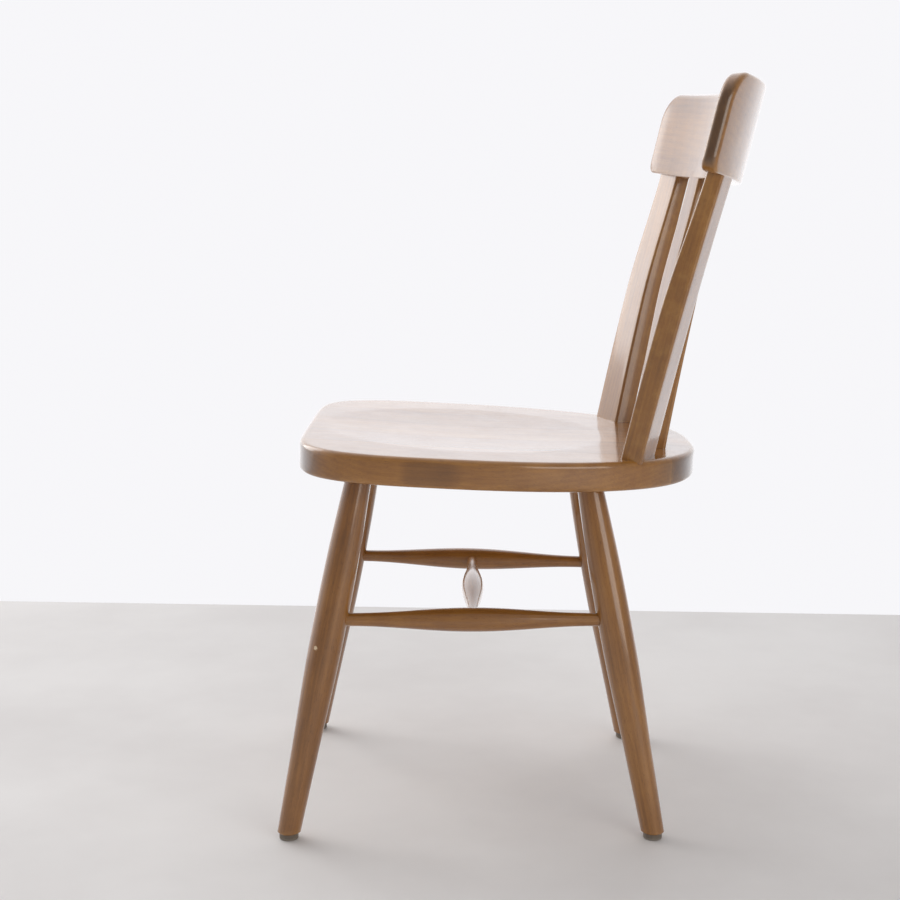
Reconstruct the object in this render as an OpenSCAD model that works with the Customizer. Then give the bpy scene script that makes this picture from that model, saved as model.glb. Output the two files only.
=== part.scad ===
// Side chair: shaped solid seat on four turned legs with an H stretcher,
// four fanned slats and a curved crest rail.
// Millimetres. +Z is up, -Y is the way a sitter faces, +X is the sitter's left.
// The origin is on the floor, at the middle of the chair's overall box.

/* [Seat] */
// Height of the seat's top at its front edge
seat_h = 442; // [400:1:480]
// Greatest width of the seat
seat_w = 452; // [400:1:500]
// Seat length ahead of its widest place
seat_front = 143; // [130:1:170]
// Seat length behind its widest place
seat_rear = 309; // [290:1:340]
// How far the widest place sits ahead of the middle of the feet
seat_wide_y = 55; // [45:1:65]
// Thickness of the seat
seat_t = 32; // [30:1:40]
// Backward slope of the seat in degrees
seat_slope = 2.06; // [0:0.01:4]
// Rounding of the seat's top edge
seat_edge = 6; // [3:0.5:8]
// Depth of the dished sitting area
dish_depth = 4; // [2:0.5:6]
// Radius of the dished sitting area
dish_r = 165; // [120:1:170]

/* [Legs] */
// Half distance between the front feet
front_foot_x = 188; // [170:1:205]
// Distance of the front feet ahead of the middle of the feet
front_foot_y = 204.5; // [190:0.5:220]
// Half distance between the rear feet
rear_foot_x = 170; // [155:1:190]
// Distance of the rear feet behind the middle of the feet
rear_foot_y = 204.5; // [190:0.5:220]
// Half distance between the front legs at the seat
front_top_x = 139; // [125:1:150]
// Front legs at the seat, ahead of the middle of the feet
front_top_y = 129; // [115:1:140]
// Half distance between the rear legs at the seat
rear_top_x = 121; // [110:1:135]
// Rear legs at the seat, behind the middle of the feet
rear_top_y = 124.5; // [110:0.5:140]
// Leg radius at the seat
leg_r_top = 14.2; // [13:0.1:16]
// Leg radius a quarter of the way down
leg_r_upper = 18; // [16:0.1:20]
// Leg radius half way down
leg_r_mid = 18.3; // [16.5:0.1:20]
// Leg radius three quarters of the way down
leg_r_lower = 15.2; // [14:0.1:17]
// Leg radius at the floor
leg_r_foot = 12.6; // [11.5:0.1:14]
// Radius of the round tenon on top of a leg
leg_tenon_r = 10; // [8:0.5:11]
// Depth of a leg's socket in the seat
leg_tenon_l = 22; // [15:1:24]

/* [Stretchers] */
// Height of the stretchers above the floor
stretcher_h = 243.5; // [215:0.5:275]
// End radius of a side stretcher
side_r_end = 7.2; // [6:0.1:8]
// Middle radius of a side stretcher
side_r_mid = 13.5; // [12:0.1:15]
// End radius of the cross stretcher
cross_r_end = 6; // [5:0.1:7]
// Middle radius of the cross stretcher
cross_r_mid = 13.4; // [12:0.1:15]
// Length of the cross stretcher's swollen middle
cross_bulb = 228; // [190:1:240]

/* [Slats] */
// Slat width at the seat
slat_w_base = 54; // [46:0.5:58]
// Slat width at the crest rail
slat_w_top = 43; // [36:0.5:48]
// Slat thickness over its lower half
slat_t = 24; // [20:0.5:26]
// Slat thickness where it meets the crest rail
slat_t_top = 18; // [15:0.5:18]
// Outer slats from the middle plane, at the seat
slat_x_base = 147; // [138:0.5:152]
// Outer slats from the middle plane, at the crest rail
slat_x_top = 185; // [176:0.5:190]
// Turn of the outer slats about their own length, in degrees
slat_turn = 22; // [16:0.5:26]
// Forward bow of a slat at half height
slat_bow = 2; // [0:0.5:4]

/* [Crest rail] */
// Height of the crest rail's front face, square to its own slope
crest_h = 100.5; // [85:0.5:112]
// Rise of its top towards the back, for each unit of thickness
crest_rise = 0.3; // [0:0.02:0.4]
// Thickness of the crest rail at its middle
crest_t = 38.5; // [30:0.5:46]
// Thickness of the crest rail at its ends
crest_t_end = 15; // [14:0.5:20]
// Half width of the crest rail at its front face
crest_half = 239; // [228:1:245]
// Radius of the crest rail's front face
crest_r = 750; // [720:1:800]
// Backward slope of the crest rail in degrees
crest_slope = 12.5; // [8:0.5:16]
// Height of the crest rail's lower front edge at the middle
crest_z = 731; // [705:1:760]
// Crest rail's lower front edge, behind the middle of the feet
crest_y = 255.5; // [253:0.5:258]
// Radius of the crest rail's upper corners
crest_corner = 36; // [25:1:42]

/* [Glides] */
// Height of a floor glide
glide_h = 7; // [5:0.5:9]
// Radius of a floor glide
glide_r = 10.6; // [9.5:0.1:11]
// Radius of a glide's nail
nail_r = 1.5; // [1:0.1:2]

/* [Hidden] */

wood = "#9a6a3c";
wood_dark = "#6e4526";
glue_gap = 0.1;
mortise_gap = 0.1;
// boards glued side by side, and the middle of the dished area
board_count = 5;
board_w = seat_w / board_count;
dish_y = -15;
// slats at the seat: how far back the inner ones stand, and how far ahead of them the outer ones
slat_y_inner = 205.5;
slat_y_step = 30;
// and at the crest rail, behind the rail's own front face
slat_set_inner = 9.5;
slat_set_outer = 14.4;
seat_edge_low = seat_edge - 1;
corner_low = 15;
crest_round = 6;
crest_round_low = 2.5;
slat_tenon_t = 11;
slat_tenon_l = 20;
slat_tenon_inset = 8;
stations = 10;
// start of a leg's turned surface, clear of its socket and its flat foot
leg_turn = 90;

// height of the seat's top plane at the middle of the feet
seat_mid_z = seat_h - sin(seat_slope) * (seat_front + seat_wide_y);
// half the crest rail's length, along the arc of its front face
crest_arc = crest_r * asin(crest_half / crest_r) * PI / 180;
// the overall box, front to back
box_front = -front_foot_y + glide_h * (front_foot_y - front_top_y) / (seat_mid_z - seat_t)
    - leg_r_foot / cos(atan2(front_foot_y - front_top_y, seat_mid_z - seat_t)) - 0.15;
box_back = crest_y + (crest_t - crest_round) * cos(crest_slope)
    + (crest_h + crest_rise * crest_t - crest_round) * sin(crest_slope) + crest_round;
box_mid = (box_front + box_back) / 2;

// ---- planes ----
function seat_top_z(y) = seat_mid_z - tan(seat_slope) * y;
function seat_under_z(y) = seat_top_z(y) - seat_t / cos(seat_slope);
function crest_low_z(y) = crest_z - tan(crest_slope) * (y - crest_y);

// ---- leg lines ----
function foot_pt(side, front) = front ? [side * front_foot_x, -front_foot_y, 0]
    : [side * rear_foot_x, rear_foot_y, 0];
function head_pt(side, front) = front
    ? [side * front_top_x, -front_top_y, seat_under_z(-front_top_y)]
    : [side * rear_top_x, rear_top_y, seat_under_z(rear_top_y)];
function at_height(side, front, z) = let (a = foot_pt(side, front), b = head_pt(side, front))
    a + (b - a) * z / b.z;
function side_mid(side) = (at_height(side, true, stretcher_h)
    + at_height(side, false, stretcher_h)) / 2;

// smooth curve through evenly spaced values
function pick(v, i) = v[min(max(i, 0), len(v) - 1)];
function smooth(v, s) = let (k = s * (len(v) - 1), i = min(floor(k), len(v) - 2), f = k - i,
    a = pick(v, i), b = pick(v, i + 1),
    ta = i == 0 ? b - a : (b - pick(v, i - 1)) / 2,
    tb = i == len(v) - 2 ? b - a : (pick(v, i + 2) - a) / 2)
    a * (2 * pow(f, 3) - 3 * pow(f, 2) + 1) + ta * (pow(f, 3) - 2 * pow(f, 2) + f)
    + b * (3 * pow(f, 2) - 2 * pow(f, 3)) + tb * (pow(f, 3) - pow(f, 2));
leg_radii = [leg_r_foot, leg_r_lower, leg_r_mid, leg_r_upper, leg_r_top];
// swelling of a turned stretcher: one at its middle, nothing past the share given
function swell(u, share) = abs(u) >= share ? 0 : pow(cos(90 * u / share), 2);

// put a shape that stands on +Z along the line from a to b
module along(a, b) {
    v = b - a;
    translate(a)
        rotate([0, acos(v.z / norm(v)), atan2(v.y, v.x)])
            children();
}

// the seat's own frame: its top plane at z = 0
module seat_frame() {
    translate([0, 0, seat_mid_z])
        rotate([-seat_slope, 0, 0])
            children();
}

// the crest rail's own frame: lower front edge at the origin, leaning back
module crest_frame() {
    translate([0, crest_y, crest_z])
        rotate([-crest_slope, 0, 0])
            children();
}

// closed skin over rings that all have the same number of points
module loft(rings) {
    n = len(rings[0]);
    m = len(rings);
    polyhedron(
        points = [for (r = rings) for (p = r) p],
        faces = concat(
            [[for (i = [0:n - 1]) i]],
            [[for (i = [n - 1:-1:0]) (m - 1) * n + i]],
            [for (j = [0:m - 2]) for (i = [0:n - 1])
                [j * n + i, (j + 1) * n + i, (j + 1) * n + (i + 1) % n]],
            [for (j = [0:m - 2]) for (i = [0:n - 1])
                [j * n + i, (j + 1) * n + (i + 1) % n, j * n + (i + 1) % n]]),
        convexity = 6);
}

// the same shape on the sitter's left and right
module both_sides() {
    children();
    mirror([1, 0, 0])
        children();
}

// ---- seat ----
// rounded D outline: squarer corners in front, a fuller curve behind
function power(v, p) = sign(v) * pow(abs(v), p);
function seat_outline(inset) = [for (t = [0:3:357]) let (c = cos(t), s = sin(t))
    s >= 0
    ? [power(c, 0.8) * (seat_w / 2 - inset),
        power(s, 0.8) * (seat_rear - inset) - seat_wide_y]
    : [power(c, 0.32) * (seat_w / 2 - inset),
        power(s, 0.8) * (seat_front - inset) - seat_wide_y]];
module seat_ring(z, inset) {
    translate([0, 0, z])
        linear_extrude(0.01)
            polygon(seat_outline(inset));
}
module seat_blank() {
    hull() {
        seat_ring(-0.01, seat_edge);
        seat_ring(-seat_edge * 0.3, seat_edge * 0.3);
        seat_ring(-seat_edge, 0);
        seat_ring(-seat_t + seat_edge_low, 0);
        seat_ring(-seat_t + seat_edge_low * 0.3, seat_edge_low * 0.3);
        seat_ring(-seat_t, seat_edge_low);
    }
}
module seat_dish() {
    ball = (pow(dish_r, 2) + pow(dish_depth, 2)) / (2 * dish_depth);
    translate([0, dish_y, ball - dish_depth])
        sphere(r = ball, $fn = 240);
}
module leg_sockets() {
    for (side = [-1, 1]) {
        for (front = [true, false]) {
            a = foot_pt(side, front);
            b = head_pt(side, front);
            along(b, 2 * b - a)
                translate([0, 0, -8])
                    cylinder(r = leg_tenon_r + glue_gap, h = leg_tenon_l + 8, $fn = 64);
        }
    }
}
// boards count from the sitter's right edge to the middle one
module seat_board(index) {
    x = -seat_w / 2 + board_w * index;
    edge = index == 0 ? 5 : 0;
    color(wood)
        translate([0, -box_mid, 0])
            difference() {
                seat_frame()
                    difference() {
                        intersection() {
                            seat_blank();
                            translate([x - edge, -seat_front - seat_wide_y - 5, -seat_t - 5])
                                cube([board_w + edge, seat_front + seat_rear + 10, seat_t + 10]);
                        }
                        seat_dish();
                    }
                leg_sockets();
                both_sides()
                    for (k = [2, 3]) {
                        slat_tenon(k, false, mortise_gap);
                    }
            }
}

// ---- legs ----
module leg(side, front) {
    a = foot_pt(side, front);
    b = head_pt(side, front);
    l = norm(b - a);
    extra = 14;
    color(wood_dark)
        translate([0, -box_mid, 0])
            difference() {
                union() {
                    difference() {
                        along(a, b)
                            rotate([0, 0, leg_turn])
                                rotate_extrude($fn = 72)
                                    polygon(concat(
                                        [[0, -extra], [leg_r_foot, -extra]],
                                        [for (i = [0:32]) [smooth(leg_radii, i / 32), l * i / 32]],
                                        [[leg_r_top, l + extra], [0, l + extra]]));
                        seat_frame()
                            translate([-400, -400, -seat_t])
                                cube([800, 800, 60]);
                    }
                    along(b, 2 * b - a)
                        translate([0, 0, -10])
                            cylinder(r = leg_tenon_r, h = leg_tenon_l - 1 + 10, $fn = 64);
                }
                translate([a.x - 60, a.y - 60, glide_h - 60])
                    cube([120, 120, 60]);
                stretcher_socket(side, front);
                nail_hole(side, front);
            }
}
module stretcher_socket(side, front) {
    a = at_height(side, front, stretcher_h);
    b = at_height(side, !front, stretcher_h);
    along(a, b)
        translate([0, 0, 5])
            cylinder(r = side_r_end + glue_gap, h = 40, $fn = 64);
}
module nail_hole(side, front) {
    p = at_height(side, front, glide_h);
    translate([p.x, p.y, 0])
        cylinder(r = nail_r + glue_gap, h = glide_h + 21, $fn = 32);
}

// ---- stretchers ----
module side_stretcher(side) {
    a = at_height(side, true, stretcher_h);
    b = at_height(side, false, stretcher_h);
    l = norm(b - a);
    m = side_mid(side);
    color(wood)
        translate([0, -box_mid, 0])
            difference() {
                along(a, b)
                    rotate_extrude($fn = 64)
                        polygon(concat(
                            [[0, 6]],
                            [for (i = [0:48]) let (z = 6 + (l - 12) * i / 48)
                                [side_r_end + (side_r_mid - side_r_end)
                                    * swell((z - l / 2) / (l / 2), 0.87), z]],
                            [[0, l - 6]]));
                translate([m.x - side * 3, m.y, m.z])
                    rotate([0, -90 * side, 0])
                        cylinder(r = cross_r_end + glue_gap, h = 30, $fn = 48);
            }
}
module cross_stretcher() {
    m = side_mid(1);
    half = m.x - 4;
    color(wood)
        translate([-half, m.y - box_mid, m.z])
            rotate([0, 90, 0])
                rotate_extrude($fn = 64)
                    polygon(concat(
                        [[0, 0]],
                        [for (i = [0:48]) let (z = 2 * half * i / 48)
                            [cross_r_end + (cross_r_mid - cross_r_end)
                                * swell((z - half) / (cross_bulb / 2), 1), z]],
                        [[0, 2 * half]]));
}

// ---- slats ----
// k is 2 for the inner slat and 3 for the outer one on the sitter's left
function slat_share(k) = (k - 1.5) / 1.5;
function slat_angle(k) = slat_turn * slat_share(k);
// slat line at the seat and at the rail: 0 for an inner slat, one step ahead for an outer one
function slat_step(k) = (pow(slat_share(k), 2) - 1 / 9) / (8 / 9);
function slat_base(k) = [slat_x_base * slat_share(k), slat_y_inner - slat_y_step * slat_step(k)];
function rail_front_y(x) = crest_y - (crest_r - sqrt(pow(crest_r, 2) - x * x)) * cos(crest_slope);
function slat_set(k) = slat_set_inner + (slat_set_outer - slat_set_inner) * slat_step(k);
function slat_head(k) = let (x = slat_x_top * slat_share(k))
    [x, rail_front_y(x) + slat_set(k) - (slat_t - slat_t_top) / 2 / cos(slat_angle(k))];
// point of a slat's section: u across its width, q through its thickness
function slat_pt(c, k, u, q) = [c.x + u * cos(slat_angle(k)) + q * sin(slat_angle(k)),
    c.y - u * sin(slat_angle(k)) + q * cos(slat_angle(k))];
function on_seat(p) = [p.x, p.y, seat_top_z(p.y)];
function on_rail(p) = [p.x, p.y, crest_low_z(p.y)];
function ease(s) = s <= 0 ? 0 : s * s * (3 - 2 * s);
// rounded section, counter-clockwise from above
function slat_ring(w, front, back, r) = [
    for (c = [[1, back, 0], [-1, back, 90], [-1, front, 180], [1, front, 270]])
        for (t = [0, 30, 60, 90])
            [c[0] * (w / 2 - r) + r * cos(c[2] + t),
            c[1] + (c[1] > 0 ? -r : r) + r * sin(c[2] + t)]];
function slat_section(k, s) = let (
    w = slat_w_base + (slat_w_top - slat_w_base) * s,
    relief = (slat_t - slat_t_top) * ease((s - 0.5) / 0.5))
    [for (p = slat_ring(w, -slat_t / 2 + relief, slat_t / 2, 3))
        let (lo = on_seat(slat_pt(slat_base(k), k, p.x, p.y)),
            hi = on_rail(slat_pt(slat_head(k), k, p.x, p.y)),
            m = lo + (hi - lo) * s)
        [m.x, m.y - slat_bow * 4 * s * (1 - s), m.z]];
module slat_tenon(k, upper, gap) {
    lo = on_seat(slat_base(k));
    hi = on_rail(slat_head(k));
    dir = (hi - lo) / norm(hi - lo);
    w = (upper ? slat_w_top : slat_w_base) / 2 - slat_tenon_inset + gap;
    back = slat_t / 2 - ((upper ? slat_t_top : slat_t) - slat_tenon_t) / 2 + gap;
    front = back - slat_tenon_t - 2 * gap;
    quad = [[w, back], [-w, back], [-w, front], [w, front]];
    root = [for (p = quad) upper ? on_rail(slat_pt(slat_head(k), k, p.x, p.y))
        : on_seat(slat_pt(slat_base(k), k, p.x, p.y))];
    over = gap > 0 ? 6 : 3;
    reach = gap > 0 ? slat_tenon_l + 1 : slat_tenon_l;
    if (upper) {
        loft([[for (p = root) p - dir * over], [for (p = root) p + dir * reach]]);
    } else {
        loft([[for (p = root) p - dir * reach], [for (p = root) p + dir * over]]);
    }
}
module slat(k) {
    color(wood)
        translate([0, -box_mid, 0])
            union() {
                loft([for (j = [0:stations]) slat_section(k, j / stations)]);
                slat_tenon(k, false, 0);
                slat_tenon(k, true, 0);
            }
}

// ---- crest rail ----
function crest_drop(d, r) = d <= 0 ? 0 : r - sqrt(max(r * r - d * d, 0));
// thickness of the rail at arc length a, thinning towards both ends
function crest_depth(a) = crest_t_end + (crest_t - crest_t_end) * (1 - pow(a / crest_arc, 2));
// section at arc length a: in from front face q, up from lower edge v
function crest_section(a) = let (
    e = abs(a) - crest_arc,
    inset = crest_drop(e + crest_round, crest_round),
    r = crest_round - inset * 0.85,
    rl = min(crest_round_low, r),
    lo = crest_drop(e + corner_low, corner_low),
    q0 = inset,
    q1 = crest_depth(a) - inset,
    hi = crest_h - crest_drop(e + crest_corner, crest_corner),
    back = hi + crest_rise * (q1 - q0))
    concat(
        [for (t = [0, 45, 90]) [q0 + rl - rl * sin(t), lo + rl - rl * cos(t)]],
        [for (t = [0, 30, 60, 90]) [q0 + r - r * cos(t), hi - r + r * sin(t)]],
        [for (t = [0, 30, 60, 78, 90]) [q1 - r + r * sin(t), back - r + r * cos(t)]],
        [for (t = [0, 45, 90]) [q1 - rl + rl * cos(t), lo + rl - rl * sin(t)]]);
function crest_ring(a) = let (phi = a / crest_r * 180 / PI)
    [for (p = crest_section(a))
        [(crest_r + p.x) * sin(phi), (crest_r + p.x) * cos(phi) - crest_r, p.y]];
crest_stops = concat(
    [for (b = [90:-10:0]) -(crest_arc - crest_corner + crest_corner * sin(b))],
    [for (i = [1:17]) (crest_arc - crest_corner) * (i / 9 - 1)],
    [for (b = [0:10:90]) crest_arc - crest_corner + crest_corner * sin(b)]);
module crest_rail() {
    color(wood)
        translate([0, -box_mid, 0])
            difference() {
                crest_frame()
                    loft([for (a = crest_stops) crest_ring(a)]);
                both_sides()
                    for (k = [2, 3]) {
                        slat_tenon(k, true, mortise_gap);
                    }
            }
}

// ---- glides ----
module glide(side, front) {
    p = at_height(side, front, glide_h);
    color("#8d8378")
        translate([p.x, p.y - box_mid, 0])
            difference() {
                rotate_extrude($fn = 64)
                    polygon([[0, 0], [glide_r - 1.5, 0], [glide_r - 0.5, 0.5], [glide_r, 1.5],
                        [glide_r, glide_h], [0, glide_h]]);
                translate([0, 0, -1])
                    cylinder(r = nail_r + glue_gap, h = glide_h + 2, $fn = 32);
                translate([0, 0, -1])
                    cylinder(r = nail_r + 2.6, h = 3, $fn = 32);
            }
}
module glide_nails() {
    color("silver")
        for (side = [-1, 1]) {
            for (front = [true, false]) {
                p = at_height(side, front, glide_h);
                translate([p.x, p.y - box_mid, 0])
                    rotate_extrude($fn = 32)
                        polygon([[0, 0.8], [nail_r + 2.4, 0.8], [nail_r + 2.4, 2], [nail_r, 2],
                            [nail_r, glide_h + 17], [0, glide_h + 20]]);
            }
        }
}

mirror([1, 0, 0]) seat_board(0);  // seat_board_left_outer
mirror([1, 0, 0]) seat_board(1);  // seat_board_left_inner
seat_board(2);  // seat_board_center
seat_board(1);  // seat_board_right_inner
seat_board(0);  // seat_board_right_outer
leg(1, true);  // front_leg_left
leg(-1, true);  // front_leg_right
leg(1, false);  // rear_leg_left
leg(-1, false);  // rear_leg_right
side_stretcher(1);  // side_stretcher_left
side_stretcher(-1);  // side_stretcher_right
cross_stretcher();
slat(3);  // slat_left_outer
slat(2);  // slat_left_inner
mirror([1, 0, 0]) slat(2);  // slat_right_inner
mirror([1, 0, 0]) slat(3);  // slat_right_outer
crest_rail();
glide(1, true);  // glide_front_left
glide(-1, true);  // glide_front_right
glide(1, false);  // glide_rear_left
glide(-1, false);  // glide_rear_right
glide_nails();
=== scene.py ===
import math

import bmesh
import bpy
import numpy as np
from mathutils import Matrix, Vector


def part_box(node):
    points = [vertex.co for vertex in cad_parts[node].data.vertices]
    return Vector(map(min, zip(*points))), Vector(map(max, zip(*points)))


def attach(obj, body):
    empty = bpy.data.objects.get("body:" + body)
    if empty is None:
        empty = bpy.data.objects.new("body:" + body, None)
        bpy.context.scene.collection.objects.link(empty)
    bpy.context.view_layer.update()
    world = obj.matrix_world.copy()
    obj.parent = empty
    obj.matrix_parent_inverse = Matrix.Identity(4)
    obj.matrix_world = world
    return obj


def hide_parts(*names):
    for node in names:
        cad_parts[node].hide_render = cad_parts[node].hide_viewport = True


# Side chair: shaped board seat, four turned legs, an H stretcher, four slats and a curved crest rail.
# Metres, +Z up, -Y is the way a sitter faces, +X the sitter's left.

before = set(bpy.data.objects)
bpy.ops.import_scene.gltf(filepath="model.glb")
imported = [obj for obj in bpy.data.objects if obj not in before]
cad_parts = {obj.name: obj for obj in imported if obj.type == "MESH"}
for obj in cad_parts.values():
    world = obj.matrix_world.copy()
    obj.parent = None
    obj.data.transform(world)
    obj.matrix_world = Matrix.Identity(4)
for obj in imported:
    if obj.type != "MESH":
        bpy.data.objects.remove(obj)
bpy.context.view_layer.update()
scene = bpy.context.scene
print("frame loaded:", len(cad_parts), "nodes")

# the middle of the feet, front to back: shapes are worked out from there and then moved here
frontGlide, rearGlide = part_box("glide_front_left"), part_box("glide_rear_left")
midY = (frontGlide[0].y + frontGlide[1].y + rearGlide[0].y + rearGlide[1].y) / 4
home = np.array([0.0, midY, 0.0])
glideTop = frontGlide[1].z


def skin(name, grid, closedRows=False, closedColumns=True):
    # point (i, j) is grid[i, j]; each cell i..i+1, j..j+1 is one face, equal points become one
    rows, columns = grid.shape[:2]
    flat = grid.reshape(-1, 3) + home
    first, back = np.unique(np.round(flat * 1e7).astype(np.int64), axis=0,
                            return_index=True, return_inverse=True)[1:]
    index = back.reshape(rows, columns)
    if closedRows:
        index = np.concatenate([index, index[:1]], axis=0)
    if closedColumns:
        index = np.concatenate([index, index[:, :1]], axis=1)
    cells = np.stack([index[:-1, :-1], index[1:, :-1], index[1:, 1:], index[:-1, 1:]], -1).reshape(-1, 4)
    points = flat[first]
    # six times the volume inside: below zero means that the faces look inward
    a, b, c, d = (points[cells[:, k]] for k in range(4))
    if (np.cross(a, b) * c + np.cross(a, c) * d).sum() < 0:
        cells = cells[:, ::-1]
    same = cells == np.roll(cells, -1, axis=1)
    pinched = same.sum(1) == 1
    triangles = cells[pinched][~same[pinched]].reshape(-1, 3)
    mesh = bpy.data.meshes.new(name)
    mesh.from_pydata(points.tolist(), [], cells[same.sum(1) == 0].tolist() + triangles.tolist())
    return place(name, mesh)


def place(name, mesh):
    mesh.validate()
    mesh.update()
    piece = bpy.data.objects.new(name, mesh)
    scene.collection.objects.link(piece)
    return piece


def finishPiece(piece, grainOf, sharp=38, fibreOf=None):
    # grain = grainOf(position): across, through and along the fibres, in metres
    # worn = how tight the surface bends: |n1 - n2| / |p1 - p2| over each edge, from 1/11 mm to 1/3.5 mm
    # sawn = how far the surface cuts across the fibres: (normal . fibre)^2, 1 on end grain
    mesh = piece.data
    count = len(mesh.vertices)
    position, normal = np.zeros(count * 3, np.float32), np.zeros(count * 3, np.float32)
    mesh.vertices.foreach_get("co", position)
    mesh.vertices.foreach_get("normal", normal)
    position, normal = position.reshape(-1, 3), normal.reshape(-1, 3)
    ends = np.zeros(len(mesh.edges) * 2, np.int32)
    mesh.edges.foreach_get("vertices", ends)
    ends = ends.reshape(-1, 2)
    gap = np.linalg.norm(position[ends[:, 0]] - position[ends[:, 1]], axis=1)
    turn = np.linalg.norm(normal[ends[:, 0]] - normal[ends[:, 1]], axis=1)
    bend = np.zeros(count)
    np.maximum.at(bend, ends.ravel(), np.repeat(turn / np.maximum(gap, 2e-4), 2))
    worn = np.clip((bend - 90) / 190, 0, 1)
    grain = grainOf(position.astype(float) - home)
    grainData = mesh.attributes.new("grain", "FLOAT_VECTOR", "POINT").data
    grainData.foreach_set("vector", grain.astype(np.float32).ravel())
    mesh.attributes.new("worn", "FLOAT", "POINT").data.foreach_set("value", worn.astype(np.float32))
    sawn = np.zeros(count) if fibreOf is None else (normal * fibreOf(position.astype(float) - home)).sum(1)**2
    mesh.attributes.new("sawn", "FLOAT", "POINT").data.foreach_set("value", sawn.astype(np.float32))
    mesh.polygons.foreach_set("use_smooth", np.ones(len(mesh.polygons), bool))
    mesh.set_sharp_from_angle(angle=math.radians(sharp))
    return piece


def frameAlong(a, b):
    # unit vectors square to the line from a to b, and along it
    w = (b - a) / np.linalg.norm(b - a)
    u = np.cross([0.0, 1.0, 0.0], w)
    u /= np.linalg.norm(u)
    return np.array([u, np.cross(w, u), w])


def unit(v):
    return v / np.linalg.norm(v, axis=-1, keepdims=True)


def hermite(values, s):
    # smooth curve through evenly spaced values: cubic between neighbours, slopes from the ones on each side
    v = np.asarray(values)
    slope = np.gradient(v)
    k = np.clip(s, 0, 1) * (len(v) - 1)
    i = np.minimum(k.astype(int), len(v) - 2)
    f = k - i
    return (v[i] * (2 * f**3 - 3 * f**2 + 1) + slope[i] * (f**3 - 2 * f**2 + f)
            + v[i + 1] * (3 * f**2 - 2 * f**3) + slope[i + 1] * (f**3 - f**2))


seat = {
    "frontHeight": 0.442,
    "width": 0.452,
    "front": 0.143,
    "rear": 0.309,
    "wideY": 0.055,
    "thickness": 0.032,
    "slope": 2.06,
    "topRound": 0.006,
    "underRound": 0.005,
    "dishDepth": 0.004,
    "dishRadius": 0.165,
    "dishY": -0.015,
    "boards": ["right_outer", "right_inner", "center", "left_inner", "left_outer"],
}
tilt = math.radians(seat["slope"])
seatMidZ = seat["frontHeight"] - math.sin(tilt) * (seat["front"] + seat["wideY"])


def seatPlaneZ(y, below=0.0):
    # height of the seat's top plane, or of one that lies below it
    return seatMidZ - math.tan(tilt) * y - below / math.cos(tilt)


def seatOutline(count):
    # rounded D: x = |cos t|^p * half width, y = |sin t|^0.8 * length, p 0.8 behind and 0.32 in front
    t = np.linspace(0, 2 * np.pi, 40001)
    t = t - 0.5 * np.sin(2 * t) * 0.9
    c, s = np.cos(t), np.sin(t)
    p = np.where(s >= 0, 0.8, 0.32)
    x = np.sign(c) * np.abs(c)**p * seat["width"] / 2
    y = np.sign(s) * np.abs(s)**0.8 * np.where(s >= 0, seat["rear"], seat["front"]) - seat["wideY"]
    way = np.concatenate([[0], np.cumsum(np.hypot(np.diff(x), np.diff(y)))])
    even = np.linspace(0, way[-1], count, endpoint=False)
    line = np.stack([np.interp(even, way, x), np.interp(even, way, y)], -1)
    side = np.roll(line, -2, 0) - np.roll(line, 2, 0)
    return line, unit(np.stack([side[:, 1], -side[:, 0]], -1))


def dishDrop(x, y):
    # shallow bowl: depth * (1 - (distance / radius)^2), with its rim eased
    h = 1 - (x**2 + (y - seat["dishY"])**2) / seat["dishRadius"]**2
    return seat["dishDepth"] * (h + np.sqrt(h**2 + 0.0012)) / 2


def seatSurface():
    # rows: underside from its middle, lower round, edge, upper round, dished top back to its middle
    line, out = seatOutline(480)
    middle = np.array([0.0, 0.02])
    top, under, t = seat["topRound"], seat["underRound"], seat["thickness"]
    rows = []
    for k in np.linspace(0, 1, 10)[:-1]:
        rows.append((middle + (line - out * under - middle) * k, -t))
    for angle in np.linspace(0, np.pi / 2, 8):
        rows.append((line - out * under * (1 - np.sin(angle)), -t + under * (1 - np.cos(angle))))
    for k in (0.35, 0.7):
        rows.append((line, -t + under + (t - under - top) * k))
    for angle in np.linspace(0, np.pi / 2, 10):
        rows.append((line - out * top * (1 - np.cos(angle)), -top + top * np.sin(angle)))
    for k in np.linspace(1, 0, 76)[1:]:
        rows.append((middle + (line - out * top - middle) * k, 0.0))
    flat = np.array([r[0] for r in rows])
    height = np.array([r[1] for r in rows])[:, None] * np.ones(flat.shape[1])
    height[-86:] -= dishDrop(flat[-86:, :, 0], flat[-86:, :, 1])
    height[-1] = height[-1].mean()
    # lean the seat back: turn by the slope about the sideways axis
    return np.stack([flat[..., 0], flat[..., 1] * math.cos(tilt) + height * math.sin(tilt),
                     seatMidZ - flat[..., 1] * math.sin(tilt) + height * math.cos(tilt)], -1)


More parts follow.
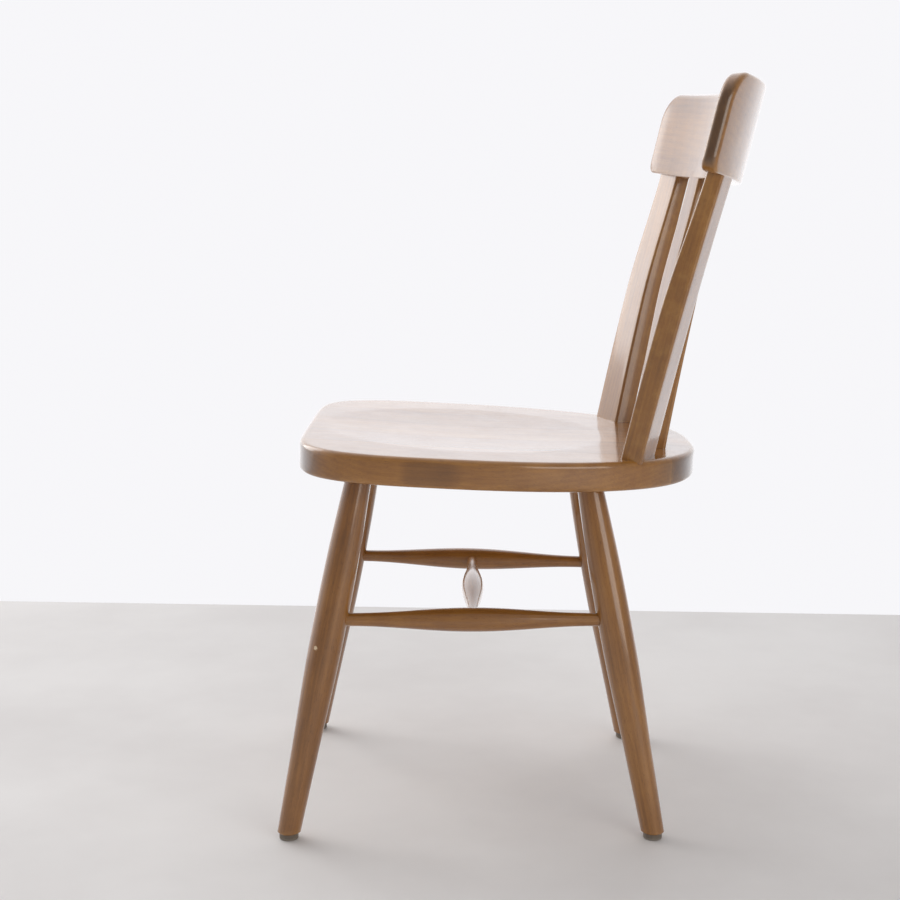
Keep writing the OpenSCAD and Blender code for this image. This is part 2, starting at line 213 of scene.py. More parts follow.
def seatBoard(whole, index):
    # the part of the seat between two upright planes, its sawn sides filled
    width = seat["width"] / 5
    low, high = -seat["width"] / 2 + width * index, -seat["width"] / 2 + width * (index + 1)
    body = bmesh.new()
    body.from_mesh(whole)
    for x, way in ((low, -1), (high, 1)):
        if abs(x) < seat["width"] / 2 - 1e-6:
            cut = bmesh.ops.bisect_plane(body, geom=body.verts[:] + body.edges[:] + body.faces[:], dist=1e-7,
                                         plane_co=(x, 0, 0), plane_no=(way, 0, 0), clear_outer=True)
            rim = [e for e in cut["geom_cut"] if isinstance(e, bmesh.types.BMEdge)]
            bmesh.ops.holes_fill(body, edges=rim)
    bmesh.ops.recalc_face_normals(body, faces=body.faces[:])
    name = "seatBoard_" + seat["boards"][index]
    mesh = bpy.data.meshes.new(name)
    body.to_mesh(mesh)
    body.free()
    middle = (low + high) / 2
    board = place(name, mesh)
    finishPiece(board, lambda p: np.stack([p[:, 0] - middle, p[:, 2] - seatMidZ + math.tan(tilt) * p[:, 1],
                                           p[:, 1] + index * 1.37], -1),
                sharp=50, fibreOf=lambda p: np.array([0.0, 1.0, 0.0]))
    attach(board, "root")
    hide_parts("seat_board_" + seat["boards"][index])
    return board


wholeSeat = skin("wholeSeat", seatSurface())
seatBoards = [seatBoard(wholeSeat.data, i) for i in range(5)]
bpy.data.objects.remove(wholeSeat)
print("seat boards:", [len(b.data.polygons) for b in seatBoards])


legs = {
    "frontFoot": (0.188, -0.2045),
    "rearFoot": (0.170, 0.2045),
    "frontTop": (0.139, -0.129),
    "rearTop": (0.121, 0.1245),
    "radii": [0.0126, 0.0152, 0.0183, 0.018, 0.0142],
    "chamfer": 0.0012,
    "intoSeat": 0.003,
}


def legLine(side, place):
    foot, top = legs[place + "Foot"], legs[place + "Top"]
    return (np.array([side * foot[0], foot[1], 0.0]),
            np.array([side * top[0], top[1], seatPlaneZ(top[1], seat["thickness"])]))


def legPoint(side, place, z):
    a, b = legLine(side, place)
    return a + (b - a) * z / b[2]


def makeLeg(side, place):
    # turned surface: axis + radius(s) * (cos, sin), cut level at the foot and along the seat's underside
    a, b = legLine(side, place)
    axes = frameAlong(a, b)
    length = np.linalg.norm(b - a)
    angle = np.linspace(0, 2 * np.pi, 96, endpoint=False)
    ring = np.cos(angle)[:, None] * axes[0] + np.sin(angle)[:, None] * axes[1]

    def cut(radius, level, slope):
        # how far along the axis each point of the ring meets the plane z = level - slope * y
        point = a + ring * radius
        return (level - slope * point[:, 1] - point[:, 2]) / (axes[2][2] + slope * axes[2][1])

    small = legs["radii"][0] - legs["chamfer"]
    low = cut(legs["radii"][0], glideTop + legs["chamfer"] * 1.3, 0)
    underside = seatMidZ - (seat["thickness"] - legs["intoSeat"]) / math.cos(tilt)
    high = cut(legs["radii"][-1], underside, math.tan(tilt))
    share = np.concatenate([np.linspace(0, 0.03, 5)[:-1], np.linspace(0.03, 1, 90)])[:, None]
    along = low + (high - low) * share
    radius = hermite(legs["radii"], along / length)
    body = a + along[..., None] * axes[2] + radius[..., None] * ring
    step = []
    for r, z in ((0.0, 0.0), (small * 0.5, 0.0), (small - 0.0004, 0.0), (small, 0.0003)):
        far = cut(r, glideTop + z, 0)
        step.append(a + far[:, None] * axes[2] + r * ring)
    top = np.repeat(body[-1].mean(0)[None, :], len(angle), 0)
    grid = np.concatenate([np.array(step), body, top[None]], 0)
    name = place + "Leg_" + ("left" if side > 0 else "right")
    leg = skin(name, grid)
    # each leg is cut from another part of the plank
    through, along = (0.006, 1.1) if place == "front" else (-0.009, 2.6)
    shift = np.array([0.011 * side, through, 0.4 * side + along])
    finishPiece(leg, lambda p: (p - a) @ axes.T + shift)
    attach(leg, "root")
    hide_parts(place + "_leg_" + ("left" if side > 0 else "right"))
    return leg


legPieces = {(side, place): makeLeg(side, place) for side in (1, -1) for place in ("front", "rear")}
print("legs:", len(legPieces))


stretchers = {
    "height": 0.2435,
    "sideEnd": 0.0072,
    "sideMiddle": 0.0135,
    "sideShare": 0.87,
    "crossEnd": 0.006,
    "crossMiddle": 0.0134,
    "crossBulb": 0.228,
}


def swell(u, share):
    # cos^2 hump, one in the middle and nothing past the share given
    return np.where(np.abs(u) < share, np.cos(np.pi / 2 * np.clip(u / share, -1, 1))**2, 0.0)


def turnedBar(name, a, b, radius, inset):
    # radius(u) about the line from a to b, u from -1 to 1
    axes = frameAlong(a, b)
    half = np.linalg.norm(b - a) / 2
    angle = np.linspace(0, 2 * np.pi, 64, endpoint=False)
    ring = np.cos(angle)[:, None] * axes[0] + np.sin(angle)[:, None] * axes[1]
    u = np.linspace(-1 + inset / half, 1 - inset / half, 121)
    r = radius(u)
    u, r = np.concatenate([u[:1], u, u[-1:]]), np.concatenate([[0], r, [0]])
    grid = (a + b) / 2 + (u * half)[:, None, None] * axes[2] + r[:, None, None] * ring
    bar = skin(name, grid)
    finishPiece(bar, lambda p: (p - a) @ axes.T + np.array([0.004, 0.012, 3.1 + len(name) * 0.07]))
    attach(bar, "root")
    return bar


def sideRadius(u):
    s = stretchers
    return s["sideEnd"] + (s["sideMiddle"] - s["sideEnd"]) * swell(u, s["sideShare"])


sideMiddles = {}
for side, word in ((1, "left"), (-1, "right")):
    a, b = (legPoint(side, place, stretchers["height"]) for place in ("front", "rear"))
    sideMiddles[side] = (a + b) / 2
    bar = turnedBar("sideStretcher_" + word, a, b, sideRadius, 0.006)
    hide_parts("side_stretcher_" + word)

crossA, crossB = sideMiddles[1], sideMiddles[-1]
crossHalf = np.linalg.norm(crossA - crossB) / 2
crossBar = turnedBar("crossStretcher", crossA, crossB,
                     lambda u: stretchers["crossEnd"] + (stretchers["crossMiddle"] - stretchers["crossEnd"])
                     * swell(u * crossHalf / (stretchers["crossBulb"] / 2), 1), 0.005)
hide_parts("cross_stretcher")
print("stretchers done")


crest = {
    "height": 0.1005,
    "rise": 0.3,
    "thickness": 0.0385,
    "half": 0.239,
    "radius": 0.750,
    "endThickness": 0.015,
    "lean": 12.5,
    "z": 0.731,
    "y": 0.2555,
    "upperCorner": 0.036,
    "lowerCorner": 0.015,
    "round": 0.006,
    "lowRound": 0.0025,
}
lean = math.radians(crest["lean"])
crestArc = crest["radius"] * math.asin(crest["half"] / crest["radius"])


def crestDepth(along):
    # thickness: t = end + (middle - end) (1 - (along / half length)^2)
    end = crest["endThickness"]
    return end + (crest["thickness"] - end) * (1 - (along / crestArc)**2)


def crestPlace(along, through, up):
    # raise the top towards the back, bend the flat rail, then lean it back about its lower front edge
    up = up + crest["rise"] * through * np.clip(up / (crest["height"] - crest["upperCorner"]), 0, 1)
    bend = along / crest["radius"]
    reach = crest["radius"] + through
    y = reach * np.cos(bend) - crest["radius"]
    return np.stack([reach * np.sin(bend), crest["y"] + y * math.cos(lean) + up * math.sin(lean),
                     crest["z"] - y * math.sin(lean) + up * math.cos(lean)], -1)


def crestUnplace(p):
    # the way back, from a point to along, through and up
    y, z = p[:, 1] - crest["y"], p[:, 2] - crest["z"]
    flat, up = y * math.cos(lean) - z * math.sin(lean), y * math.sin(lean) + z * math.cos(lean)
    reach = np.hypot(p[:, 0], flat + crest["radius"])
    return np.arctan2(p[:, 0], flat + crest["radius"]) * crest["radius"], reach - crest["radius"], up


def crestHalves():
    # upper and lower half outline from the left end's middle to the right end's, with outward normals
    a, top, low = crestArc, crest["upperCorner"], crest["lowerCorner"]
    h = crest["height"]
    quarter = np.linspace(0, np.pi / 2, 26)
    side = np.linspace(0, 1, 7)[:-1]
    span = np.linspace(-1, 1, 61)
    middle = (h - top + low) / 2
    upper = np.concatenate([
        np.stack([-a + 0 * side, middle + (h - top - middle) * side], -1),
        np.stack([-a + top - top * np.cos(quarter), h - top + top * np.sin(quarter)], -1),
        np.stack([(a - top) * span[1:-1], h + 0 * span[1:-1]], -1),
        np.stack([a - top + top * np.sin(quarter), h - top + top * np.cos(quarter)], -1),
        np.stack([a + 0 * side, h - top - (h - top - middle) * (1 - side[::-1])], -1)])
    lower = np.concatenate([
        np.stack([-a + 0 * side, middle + (low - middle) * side], -1),
        np.stack([-a + low - low * np.cos(quarter), low - low * np.sin(quarter)], -1),
        np.stack([(a - low) * span[1:-1], 0 * span[1:-1]], -1),
        np.stack([a - low + low * np.sin(quarter), low - low * np.cos(quarter)], -1),
        np.stack([a + 0 * side, low + (middle - low) * (1 - side[::-1])], -1)])
    upper[-1], lower[-1] = (a, middle), (a, middle)

    def outward(line, way):
        step = unit(np.gradient(line, axis=0))
        return np.stack([-step[:, 1], step[:, 0]], -1) * way

    return upper, outward(upper, 1), lower, outward(lower, -1)


def makeCrest():
    # loop at each station: front face, upper round, back face, lower round; both ends close to an edge
    upper, upOut, lower, lowOut = crestHalves()
    # the round runs from full along the top and ends to small along the underside
    corner = crest["lowerCorner"]
    share = np.clip(np.abs(lower[:, 0]) - (crestArc - corner), 0, corner) / corner
    lowR = crest["lowRound"] + (crest["round"] - crest["lowRound"]) * share**2
    upR = np.full(len(upper), crest["round"])
    quarter = np.linspace(0, np.pi / 2, 9)
    loops = []

    def rim(edge, out, r, angle, atBack):
        # one loop of a quarter round: angle 0 on the face, a right angle on the edge
        line = edge - out * (r * (1 - np.sin(angle)))[:, None]
        inset = r * (1 - np.cos(angle))
        loops.append((line, crestDepth(line[:, 0]) - inset if atBack else inset))

    def sheet(start, end, atBack):
        for k in np.linspace(0, 1, 14)[1:-1]:
            line = start + (end - start) * k
            loops.append((line, crestDepth(line[:, 0]) if atBack else 0 * line[:, 0]))

    backTop, backLow = upper - upOut * upR[:, None], lower - lowOut * lowR[:, None]
    for angle in quarter:
        rim(upper, upOut, upR, angle, False)
    for angle in quarter[::-1]:
        rim(upper, upOut, upR, angle, True)
    sheet(backTop, backLow, True)
    for angle in quarter:
        rim(lower, lowOut, lowR, angle, True)
    for angle in quarter[::-1]:
        rim(lower, lowOut, lowR, angle, False)
    sheet(backLow, backTop, False)
    flat = np.array([l[0] for l in loops]).transpose(1, 0, 2)
    through = np.array([l[1] for l in loops]).T
    rail = skin("crestRail", crestPlace(flat[..., 0], through, flat[..., 1]))

    def grain(p):
        along, depth, up = crestUnplace(p)
        return np.stack([up + 0.02, depth + 0.05, along + 5.3], -1)

    def fibre(p):
        bend = crestUnplace(p)[0] / crest["radius"]
        return np.stack([np.cos(bend), -np.sin(bend) * math.cos(lean), np.sin(bend) * math.sin(lean)], -1)

    finishPiece(rail, grain, fibreOf=fibre)
    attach(rail, "root")
    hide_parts("crest_rail")
    return rail


crestRail = makeCrest()
print("crest rail:", len(crestRail.data.polygons))


slats = {
    "baseWidth": 0.054,
    "topWidth": 0.043,
    "thickness": 0.024,
    "topThickness": 0.018,
    "baseX": 0.147,
    "topX": 0.185,
    "turn": 22,
    "bow": 0.002,
    "arris": 0.003,
    "innerY": 0.2055,
    "stepY": 0.030,
    "setInner": 0.0095,
    "setOuter": 0.0144,
    "into": 0.008,
}


def makeSlat(name, node, share):
    # rounded section carried from the seat's plane to the rail's, point by point, bowed forward midway
    s = slats
    turn = math.radians(s["turn"] * share)
    across, back = np.array([math.cos(turn), -math.sin(turn)]), np.array([math.sin(turn), math.cos(turn)])
    step = (share**2 - 1 / 9) / (8 / 9)
    base = np.array([s["baseX"] * share, s["innerY"] - s["stepY"] * step])
    x = s["topX"] * share
    railY = crest["y"] - (crest["radius"] - math.sqrt(crest["radius"]**2 - x * x)) * math.cos(lean)
    head = np.array([x, railY + s["setInner"] + (s["setOuter"] - s["setInner"]) * step
                     - (s["thickness"] - s["topThickness"]) / 2 / math.cos(turn)])
    end = s["into"] / 0.3
    k = np.linspace(-end * 0.4, 1 + end, 80)[:, None]
    clip = np.clip(k, 0, 1)
    width = s["baseWidth"] + (s["topWidth"] - s["baseWidth"]) * clip
    ease = np.clip((clip - 0.5) / 0.5, 0, 1)
    front = -s["thickness"] / 2 + (s["thickness"] - s["topThickness"]) * ease**2 * (3 - 2 * ease)
    rear = s["thickness"] / 2
    r = s["arris"]
    arc = np.linspace(0, np.pi / 2, 7)
    flat = np.linspace(0, 1, 7)[1:-1]
    us, qs = [], []
    for cu, cq, start in ((1, 1, 0), (-1, 1, 1), (-1, -1, 2), (1, -1, 3)):
        face = front + 0 * width if cq < 0 else rear + 0 * width
        us.append(cu * (width / 2 - r) + r * np.cos(arc + start * np.pi / 2))
        qs.append(face - cq * r + r * np.sin(arc + start * np.pi / 2))
        if start in (0, 2):
            us.append(cu * (width / 2 - r) * (1 - 2 * flat))
            qs.append(face + 0 * flat)
    u, q = np.concatenate(us, 1), np.concatenate(qs, 1)
    low = base + u[..., None] * across + q[..., None] * back
    high = head + u[..., None] * across + q[..., None] * back
    low = np.concatenate([low, seatPlaneZ(low[..., 1:])], -1)
    high = np.concatenate([high, crest["z"] - math.tan(lean) * (high[..., 1:] - crest["y"])], -1)
    grid = low + (high - low) * k[..., None]
    grid[..., 1] -= s["bow"] * 4 * clip * (1 - clip)
    caps = [np.repeat(grid[e].mean(0)[None, None], grid.shape[1], 1) for e in (0, -1)]
    slat = skin(name, np.concatenate([caps[0], grid, caps[1]], 0))
    a, b = np.append(base, seatPlaneZ(base[1])), np.append(head, crest["z"])
    axes = frameAlong(a, b)
    finishPiece(slat, lambda p: (p - a) @ axes.T + np.array([0.008 * share, 0.03, 7.7 + share]))
    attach(slat, "root")
    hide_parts(node)
    return slat


slatPieces = [makeSlat("slat_" + word, "slat_" + node, share) for word, node, share in (
    ("leftOuter", "left_outer", 1), ("leftInner", "left_inner", 1 / 3),
    ("rightInner", "right_inner", -1 / 3), ("rightOuter", "right_outer", -1))]
print("slats:", len(slatPieces))


glides = {
    "radius": 0.0106,
    "bore": 0.0041,
    "recess": 0.002,
    "round": 0.0015,
}


def makeGlide(side, place):
    # profile turned about an upright axis: recess for the nail's head, rounded lower edge, straight side
    g = glides
    bite = np.linspace(0, np.pi / 2, 7)
    radius = np.concatenate([[0, g["bore"], g["bore"], g["bore"] + 0.0002, g["radius"] - g["round"]],
                             g["radius"] - g["round"] + g["round"] * np.sin(bite[1:]),
                             [g["radius"], g["radius"] - 0.0003, 0]])
    height = np.concatenate([[g["recess"], g["recess"], 0.0002, 0, 0],
                             g["round"] * (1 - np.cos(bite[1:])), [glideTop - 0.0004, glideTop, glideTop]])
    angle = np.linspace(0, 2 * np.pi, 64, endpoint=False)
    centre = legPoint(side, place, glideTop) * np.array([1, 1, 0])
    grid = np.stack([centre[0] + radius[:, None] * np.cos(angle), centre[1] + radius[:, None] * np.sin(angle),
                     height[:, None] + 0 * angle], -1)
    word = place + "_" + ("left" if side > 0 else "right")
    glide = skin("glide_" + word, grid)
    finishPiece(glide, lambda p: p - centre, sharp=30)
    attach(glide, "root")
    glide.name = "floorGlide_" + word
    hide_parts("glide_" + word)
    return glide


glidePieces = [makeGlide(side, place) for side in (1, -1) for place in ("front", "rear")]
print("glides:", len(glidePieces))


class Shade:
    # wraps one output; sums and products on it add Math nodes
    def __init__(self, tree, socket=None):
        self.tree, self.socket = tree, socket

    def node(self, kind, settings=None, inputs=None, output=0):
        made = self.tree.nodes.new(kind)
        for key, value in (settings or {}).items():
            if key == "stops":
                ramp = made.color_ramp
                while len(ramp.elements) < len(value):
                    ramp.elements.new(0.5)
                for element, (position, colour) in zip(ramp.elements, value):
                    element.position, element.color = position, colour
            else:
                setattr(made, key, value)
        for key, value in (inputs or {}).items():
            if isinstance(value, Shade):
                self.tree.links.new(value.socket, made.inputs[key])
            else:
                made.inputs[key].default_value = value
        return Shade(self.tree, made.outputs[output])

    def math(self, operation, *values):
        return self.node("ShaderNodeMath", {"operation": operation}, dict(enumerate(values)))

    def __add__(self, other): return self.math("ADD", self, other)
    def __radd__(self, other): return self.math("ADD", other, self)
    def __sub__(self, other): return self.math("SUBTRACT", self, other)
    def __rsub__(self, other): return self.math("SUBTRACT", other, self)
    def __mul__(self, other): return self.math("MULTIPLY", self, other)
    def __rmul__(self, other): return self.math("MULTIPLY", other, self)

    def scaled(self, vector):
        return self.node("ShaderNodeVectorMath", {"operation": "MULTIPLY"}, {0: self, 1: vector})

    def noise(self, vector, scale, detail=3.0, rough=0.55):
        return self.node("ShaderNodeTexNoise", {"noise_dimensions": "3D"},
                         {"Vector": vector, "Scale": scale, "Detail": detail, "Roughness": rough}, "Fac")

    def between(self, value, low, high):
        # 0 below low, 1 above high, eased between
        return self.node("ShaderNodeMapRange", {"interpolation_type": "SMOOTHSTEP"},
                         {"Value": value, "From Min": low, "From Max": high})

    def blend(self, share, a, b, mode="MIX"):
        return self.node("ShaderNodeMix", {"data_type": "RGBA", "blend_type": mode, "clamp_factor": True},
                         {0: share, 6: a, 7: b}, 2)


def linear(r, g, b):
    # screen colour 0..255 to the linear values that the nodes take
    c = np.array([r, g, b]) / 255
    return (*np.where(c <= 0.04045, c / 12.92, ((c + 0.055) / 1.055)**2.4).tolist(), 1.0)


woodLook = {
    "end": (58, 36, 16),
    "deep": (90, 54, 18),
    "body": (136, 88, 34),
    "honey": (160, 108, 44),
    "pale": (184, 136, 68),
    "bare": (222, 196, 158),
    "ringWidth": 0.0052,
    "roughness": 0.36,
    "coat": 1.0,
    "coatRoughness": 0.12,
}


def woodMaterial(name, tone=0.0, board=None, chips=()):
    # level = 0.5 + tone + patch + blotch + ring + fibre + strand: patch and blotch are broad noise,
    # ring = sin(2 pi (distance from the pith / ring width + 9 warp)), fibre and strand are noise
    # stretched along the grain; flecks, pores and end grain darken it, worn arrises lighten it
    look = woodLook
    material = bpy.data.materials.new(name)
    material.use_nodes = True
    tree = material.node_tree
    tree.nodes.clear()
    kit = Shade(tree)
    grain = kit.node("ShaderNodeAttribute", {"attribute_name": "grain"}, {}, "Vector")
    worn = kit.node("ShaderNodeAttribute", {"attribute_name": "worn"}, {}, "Fac")
    sawn = kit.between(kit.node("ShaderNodeAttribute", {"attribute_name": "sawn"}, {}, "Fac"), 0.25, 0.95)
    spot = kit.node("ShaderNodeTexCoord", {}, {}, "Object")
    warp = kit.noise(grain.scaled((5.0, 5.0, 1.3)), 1.0, 2.0)
    flow = kit.node("ShaderNodeVectorMath", {"operation": "LENGTH"},
                    {0: grain.scaled((1.0, 1.0, 0.0)).node("ShaderNodeVectorMath", {"operation": "ADD"},
                     {0: grain.scaled((1.0, 1.0, 0.0)), 1: (0.052, 0.118, 0.0)})}, "Value")
    phase = flow * (1 / look["ringWidth"]) + warp * 9.0
    ring = kit.math("SINE", phase * (2 * math.pi))
    patch = kit.noise(grain.scaled((14.0, 14.0, 3.2)), 1.0, 3.0) - 0.5
    blotch = kit.noise(spot.scaled((26.0, 26.0, 17.0)), 1.0, 3.0, 0.6) - 0.5
    fibre = kit.noise(grain.scaled((700.0, 700.0, 14.0)), 1.0, 3.0, 0.7) - 0.5
    strand = kit.noise(grain.scaled((150.0, 150.0, 4.0)), 1.0, 3.0, 0.6) - 0.5
    level = (patch * 0.55 + blotch * 0.3 + ring * 0.03 + fibre * 0.3 + strand * 0.32) + (0.5 + tone)
    stops = [(0.12, linear(*look["deep"])), (0.42, linear(*look["body"])),
             (0.64, linear(*look["honey"])), (0.9, linear(*look["pale"]))]
    colour = kit.node("ShaderNodeValToRGB", {"stops": stops}, {"Fac": level})
    # end grain soaks up more stain: share = 0.8 sawn
    colour = kit.blend(sawn * 0.8, colour, linear(*look["end"]))
    # short ray flecks, about 0.5 by 4 mm
    fleck = kit.between(kit.noise(grain.scaled((950.0, 950.0, 210.0)), 1.0, 1.0), 0.62, 0.72)
    pore = kit.between(kit.noise(grain.scaled((1500.0, 1500.0, 90.0)), 1.0, 1.0), 0.6, 0.7)
    colour = kit.blend(fleck * 0.35, colour, linear(*look["deep"]))
    colour = kit.blend(pore * 0.25, colour, linear(*look["deep"]))
    # stain thinned on the arrises, in uneven runs
    rub = kit.between(kit.noise(spot, 46.0, 4.0, 0.65), 0.42, 0.66)
    colour = kit.blend(worn * (0.12 + rub * 0.3), colour, linear(*look["pale"]))
    if board is not None:
        # fine dark joint at each sawn side: |across| past half the width
        across = kit.node("ShaderNodeSeparateXYZ", {}, {0: grain}, 0)
        joint = kit.between(kit.math("ABSOLUTE", across), board / 2 - 0.0007, board / 2 - 0.0001)
        colour = kit.blend(joint * 0.45, colour, linear(*look["deep"]))
    bare = None
    for x, y, z, size in chips:
        away = kit.node("ShaderNodeVectorMath", {"operation": "DISTANCE"}, {0: spot, 1: (x, y, z)}, "Value")
        mark = 1 - kit.between(away + (kit.noise(spot, 900.0, 2.0) - 0.5) * (size * 1.2), size * 0.75, size)
        bare = mark if bare is None else kit.math("MAXIMUM", bare, mark)
    if bare is not None:
        colour = kit.blend(bare, colour, linear(*look["bare"]))
    smudge = kit.noise(spot.scaled((31.0, 31.0, 22.0)), 1.0, 4.0, 0.62)
    roughness = look["roughness"] + (smudge - 0.5) * 0.22 + worn * 0.05
    height = fibre * 0.5 + strand * 0.35 - pore * 0.5 - fleck * 0.25
    orange = kit.noise(spot, 260.0, 2.0)
    normal = kit.node("ShaderNodeBump", {}, {
        "Strength": 0.12, "Distance": 0.0006, "Height": height + orange * 0.6}, "Normal")
    surface = kit.node("ShaderNodeBsdfPrincipled", {}, {
        "Base Color": colour, "Roughness": roughness, "Normal": normal, "IOR": 1.46,
        "Coat Weight": look["coat"], "Coat Roughness": look["coatRoughness"], "Coat IOR": 1.5})
    out = tree.nodes.new("ShaderNodeOutputMaterial")
    tree.links.new(surface.socket, out.inputs["Surface"])
    return material


def dress(piece, material):
    piece.data.materials.clear()
    piece.data.materials.append(material)


boardTones = [0.05, -0.04, 0.03, -0.05, 0.02]
for i, board in enumerate(seatBoards):
    dress(board, woodMaterial("seatWood_" + seat["boards"][i], boardTones[i], board=seat["width"] / 5))
legTones = {(1, "front"): -0.03, (1, "rear"): 0.0, (-1, "front"): -0.05, (-1, "rear"): -0.02}
legChips = {(1, "front"): ((0.1773, midY - 0.1740, 0.2161, 0.0026),)}
for key, leg in legPieces.items():
    dress(leg, woodMaterial("legWood_" + leg.name, legTones[key], chips=legChips.get(key, ())))
for bar, tone in ((bpy.data.objects["sideStretcher_left"], 0.03),
                  (bpy.data.objects["sideStretcher_right"], 0.0), (crossBar, 0.05)):
    dress(bar, woodMaterial("stretcherWood_" + bar.name, tone))
dress(crestRail, woodMaterial("crestWood", 0.0))
for slat, tone in zip(slatPieces, (0.0, 0.04, -0.03, 0.02)):
    dress(slat, woodMaterial("slatWood_" + slat.name, tone))


def glideMaterial():
    # grey-brown moulded plastic, scuffed from below: scuff = noise (1 - height eased from 0.5 to 3.5 mm)
    material = bpy.data.materials.new("glidePlastic")
    material.use_nodes = True
    tree = material.node_tree
    tree.nodes.clear()
    kit = Shade(tree)
    spot = kit.node("ShaderNodeTexCoord", {}, {}, "Object")
    height = kit.node("ShaderNodeSeparateXYZ", {}, {0: spot}, 2)
    scuff = kit.noise(spot, 420.0, 4.0, 0.7) * (1 - kit.between(height, 0.0005, 0.0035))
    mottle = kit.noise(spot, 160.0, 3.0)
    colour = kit.blend(mottle, linear(92, 82, 72), linear(122, 111, 98))
    colour = kit.blend(scuff, colour, linear(164, 156, 146))
    normal = kit.node("ShaderNodeBump", {}, {
        "Strength": 0.3, "Distance": 0.0004, "Height": scuff + mottle * 0.4}, "Normal")
    surface = kit.node("ShaderNodeBsdfPrincipled", {}, {"Base Color": colour, "Roughness": 0.48 + scuff * 0.4,
                                                       "Normal": normal, "IOR": 1.5})
    out = tree.nodes.new("ShaderNodeOutputMaterial")
    tree.links.new(surface.socket, out.inputs["Surface"])
    return material


def steelMaterial():
    # nail steel: colour = bright to dull by noise, roughness = 0.28 + 0.25 noise, fine scratches as bump
    material = bpy.data.materials.new("nailSteel")
    material.use_nodes = True
    tree = material.node_tree
    tree.nodes.clear()
    kit = Shade(tree)
    spot = kit.node("ShaderNodeTexCoord", {}, {}, "Object")
    tarnish = kit.noise(spot, 700.0, 4.0, 0.7)
    colour = kit.blend(tarnish, linear(196, 194, 190), linear(138, 130, 120))
    scratch = kit.noise(spot.scaled((3000.0, 400.0, 400.0)), 1.0, 2.0)
    normal = kit.node("ShaderNodeBump", {}, {
        "Strength": 0.15, "Distance": 0.0002, "Height": scratch}, "Normal")
    surface = kit.node("ShaderNodeBsdfPrincipled", {}, {
        "Base Color": colour, "Roughness": 0.28 + tarnish * 0.25, "Metallic": 1.0, "Normal": normal})
    out = tree.nodes.new("ShaderNodeOutputMaterial")
    tree.links.new(surface.socket, out.inputs["Surface"])
    return material


plastic = glideMaterial()
for glide in glidePieces:
    dress(glide, plastic)
dress(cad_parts["glide_nails"], steelMaterial())
print("finishes done")


room = {
    "floorFarX": -0.82,
    "floorReach": 6,
    "floorDark": (216, 213, 211),
    "floorPale": (228, 226, 224),
    "glowLow": 0.36,
    "glowRise": 0.9,
    "glowSeen": 0.95,
    "key": 38,
    "fill": 5,
    "side": 21,
}


def makeFloor():
    # one flat sheet at z = 0, from a line behind the chair towards the camera
    # colour = dark to pale by broad noise, eased from 0.3 to 0.7
    far, reach = room["floorFarX"], room["floorReach"]
    corners = [(far, -reach, 0), (reach, -reach, 0), (reach, reach, 0), (far, reach, 0)]
    mesh = bpy.data.meshes.new("floor")
    mesh.from_pydata(corners, [], [(0, 1, 2, 3)])
    floor = place("floor", mesh)
    material = bpy.data.materials.new("floorPale")
    material.use_nodes = True
    tree = material.node_tree
    tree.nodes.clear()
    kit = Shade(tree)
    spot = kit.node("ShaderNodeTexCoord", {}, {}, "Object")
    cloud = kit.noise(spot, 1.6, 5.0, 0.6)
    colour = kit.blend(kit.between(cloud, 0.3, 0.7), linear(*room["floorDark"]), linear(*room["floorPale"]))
    surface = kit.node("ShaderNodeBsdfPrincipled", {}, {"Base Color": colour, "Roughness": 0.7})
    out = tree.nodes.new("ShaderNodeOutputMaterial")
    tree.links.new(surface.socket, out.inputs["Surface"])
    dress(floor, material)


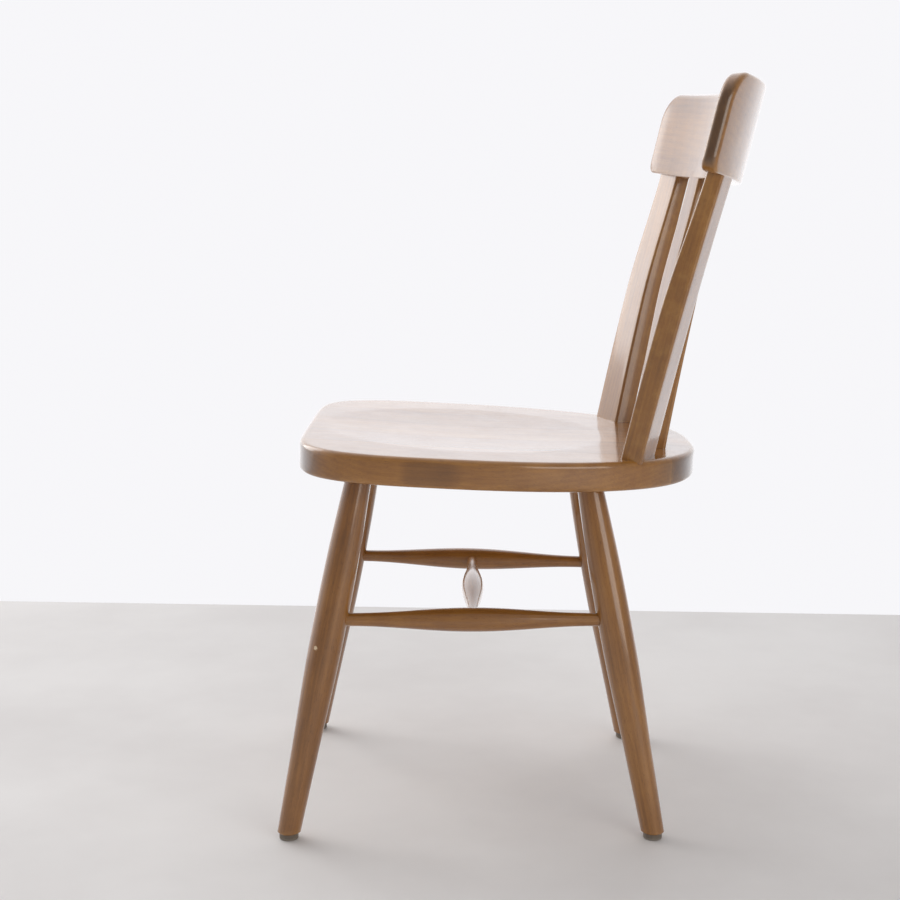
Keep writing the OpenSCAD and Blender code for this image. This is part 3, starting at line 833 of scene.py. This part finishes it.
def makeWorld():
    # the camera sees one pale level; as light, strength = low + rise * behind, brightest behind the chair
    world = bpy.data.worlds.new("studio")
    scene.world = world
    world.use_nodes = True
    tree = world.node_tree
    tree.nodes.clear()
    kit = Shade(tree)
    way = kit.node("ShaderNodeTexCoord", {}, {}, "Generated")
    x = kit.node("ShaderNodeSeparateXYZ", {}, {0: way}, 0)
    y = kit.node("ShaderNodeSeparateXYZ", {}, {0: way}, 1)
    behind = kit.between(x * -0.9 + y * -0.45, -0.25, 0.8)
    strength = room["glowLow"] + behind * room["glowRise"]
    seen = kit.node("ShaderNodeLightPath", {}, {}, "Is Camera Ray")
    power = strength * (1 - seen) + seen * room["glowSeen"]
    glow = kit.node("ShaderNodeBackground", {}, {"Color": (0.98, 0.975, 1.0, 1.0), "Strength": power})
    out = tree.nodes.new("ShaderNodeOutputWorld")
    tree.links.new(glow.socket, out.inputs["Surface"])


def softLight(name, place, target, size, power, colour=(1, 1, 1)):
    data = bpy.data.lights.new(name, "AREA")
    data.shape, data.size, data.size_y = "RECTANGLE", size[0], size[1]
    data.energy, data.color = power, colour
    lamp = bpy.data.objects.new(name, data)
    lamp.location = place
    lamp.rotation_mode = "QUATERNION"
    lamp.rotation_quaternion = (Vector(target) - Vector(place)).to_track_quat("-Z", "Y")
    scene.collection.objects.link(lamp)
    return lamp


view = {
    "place": (1.91105, -0.01591, 0.72194),
    "yaw": -0.0079972,
    "pitch": 0.1620209,
    "roll": 0.0133726,
    "lens": 65.36,
}


def makeCamera():
    data = bpy.data.cameras.new("camera")
    data.lens, data.sensor_width = view["lens"], 36
    camera = bpy.data.objects.new("camera", data)
    p, y, roll = view["pitch"], view["yaw"], view["roll"]
    ahead = Vector((-math.cos(p) * math.cos(y), math.cos(p) * math.sin(y), -math.sin(p)))
    right = ahead.cross(Vector((0, 0, 1))).normalized()
    up = right.cross(ahead)
    turnedRight = right * math.cos(roll) + up * math.sin(roll)
    turnedUp = up * math.cos(roll) - right * math.sin(roll)
    camera.matrix_world = Matrix((
        (turnedRight.x, turnedUp.x, -ahead.x, view["place"][0]),
        (turnedRight.y, turnedUp.y, -ahead.y, view["place"][1] + midY),
        (turnedRight.z, turnedUp.z, -ahead.z, view["place"][2]),
        (0, 0, 0, 1)))
    scene.collection.objects.link(camera)
    scene.camera = camera


makeFloor()
makeWorld()
softLight("keySoft", (-1.7, -2.3, 1.9), (0, 0, 0.45), (2.2, 2.2), room["key"], (1.0, 0.99, 0.98))
softLight("sideSoft", (2.3, 1.7, 1.0), (0, 0, 0.35), (1.8, 1.4), room["side"], (1.0, 0.97, 0.92))
softLight("topSoft", (0.2, 0.3, 2.9), (0, 0, 0.3), (2.4, 2.4), room["fill"])
makeCamera()
scene.view_settings.view_transform = "Standard"
print("room done")
